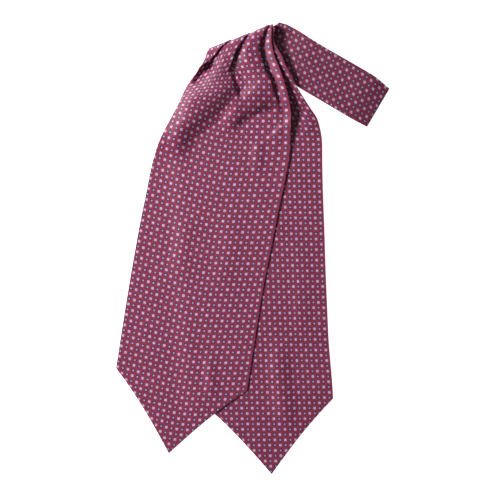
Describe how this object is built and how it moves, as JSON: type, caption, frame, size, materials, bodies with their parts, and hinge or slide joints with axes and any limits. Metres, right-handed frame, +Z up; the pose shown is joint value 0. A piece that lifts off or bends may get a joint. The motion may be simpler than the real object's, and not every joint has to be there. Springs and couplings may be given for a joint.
{
  "type": "silk cravat",
  "caption": "Silk cravat laid out flat, folded at the neckband, with two pointed blades and a small square-and-dot print.",
  "frame": {"origin": "centre of the laid-out cravat's box, at the table", "axes": "+Y from the pointed ends towards the folded neckband, +X towards the neckband's end fold, +Z up from the table"},
  "size_m": [0.2972, 0.4864, 0.0186],
  "materials": {
    "front_silk": "satin",
    "back_silk": "satin",
    "band_silk": "satin"
  },
  "bodies": {
    "root": {"front_blade": "front_silk", "back_blade": "back_silk", "neckband": "band_silk"}
  },
  "joints": []
}
